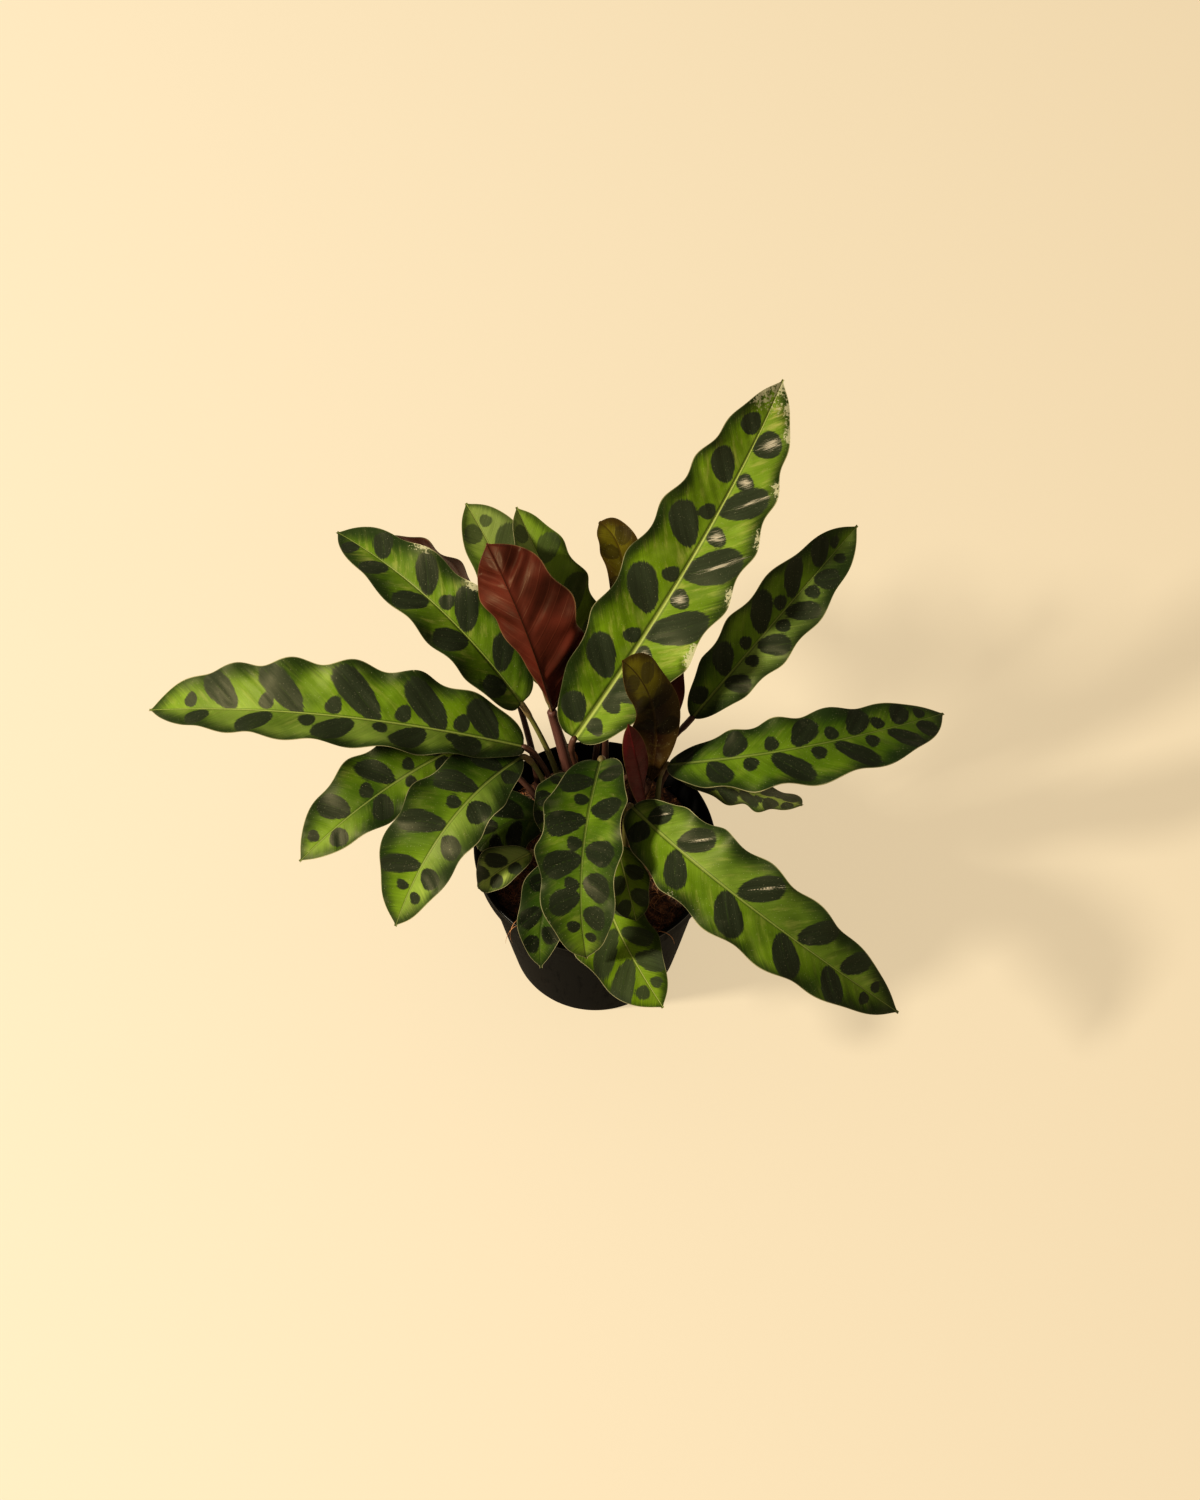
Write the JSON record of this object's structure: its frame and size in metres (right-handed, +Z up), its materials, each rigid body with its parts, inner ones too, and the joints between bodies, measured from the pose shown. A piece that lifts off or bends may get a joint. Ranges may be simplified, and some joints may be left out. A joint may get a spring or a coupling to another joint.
{
  "type": "potted rattlesnake plant",
  "caption": "Potted foliage plant: long, wavy-edged, dark-blotched leaves fan out on thin stalks from peat in a round nursery pot.",
  "frame": {"origin": "middle of the pot's flat underside", "axes": "+Z up the pot's axis; the plant's front towards -Y; the longest sideways leaf points to -X"},
  "size_m": [0.3921, 0.2564, 0.2724],
  "materials": {
    "pot_plastic": "gloss",
    "peat": "matte",
    "blade": "satin",
    "young_blade": "satin",
    "underside": "satin",
    "stalk": "satin",
    "sheath": "satin",
    "dry_bract": "matte"
  },
  "bodies": {
    "root": {"blade_back_left": "blade", "blade_back_left_hidden": "blade", "blade_back_middle": "blade", "blade_back_right": "blade", "blade_back_small": "young_blade", "blade_back_tall": "blade", "blade_behind_tall": "underside", "blade_front": "blade", "blade_front_curled": "blade", "blade_front_left_narrow": "blade", "blade_front_low": "blade", "blade_front_right": "blade", "blade_front_short": "blade", "blade_left_front": "blade", "blade_left_long": "blade", "blade_left_low": "blade", "blade_left_shaded": "blade", "blade_left_short": "blade", "blade_maroon_back": "underside", "blade_right": "blade", "blade_right_low": "blade", "blade_tall_right": "blade", "blade_young": "young_blade", "blade_young_rolled": "underside", "dry_bract": "dry_bract", "pot": "pot_plastic", "soil": "peat", "stalk_back_left": "stalk", "stalk_back_left_hidden": "stalk", "stalk_back_middle": "stalk", "stalk_back_right": "stalk", "stalk_back_small": "stalk", "stalk_back_tall": "stalk", "stalk_behind_tall": "stalk", "stalk_front": "stalk", "stalk_front_curled": "stalk", "stalk_front_left_narrow": "stalk", "stalk_front_low": "stalk", "stalk_front_right": "stalk", "stalk_front_short": "stalk", "stalk_left_front": "stalk", "stalk_left_long": "stalk", "stalk_left_low": "stalk", "stalk_left_shaded": "stalk", "stalk_left_short": "stalk", "stalk_maroon_back": "sheath", "stalk_right": "stalk", "stalk_right_low": "stalk", "stalk_tall_right": "stalk", "stalk_young": "stalk", "stalk_young_rolled": "stalk"}
  },
  "joints": []
}
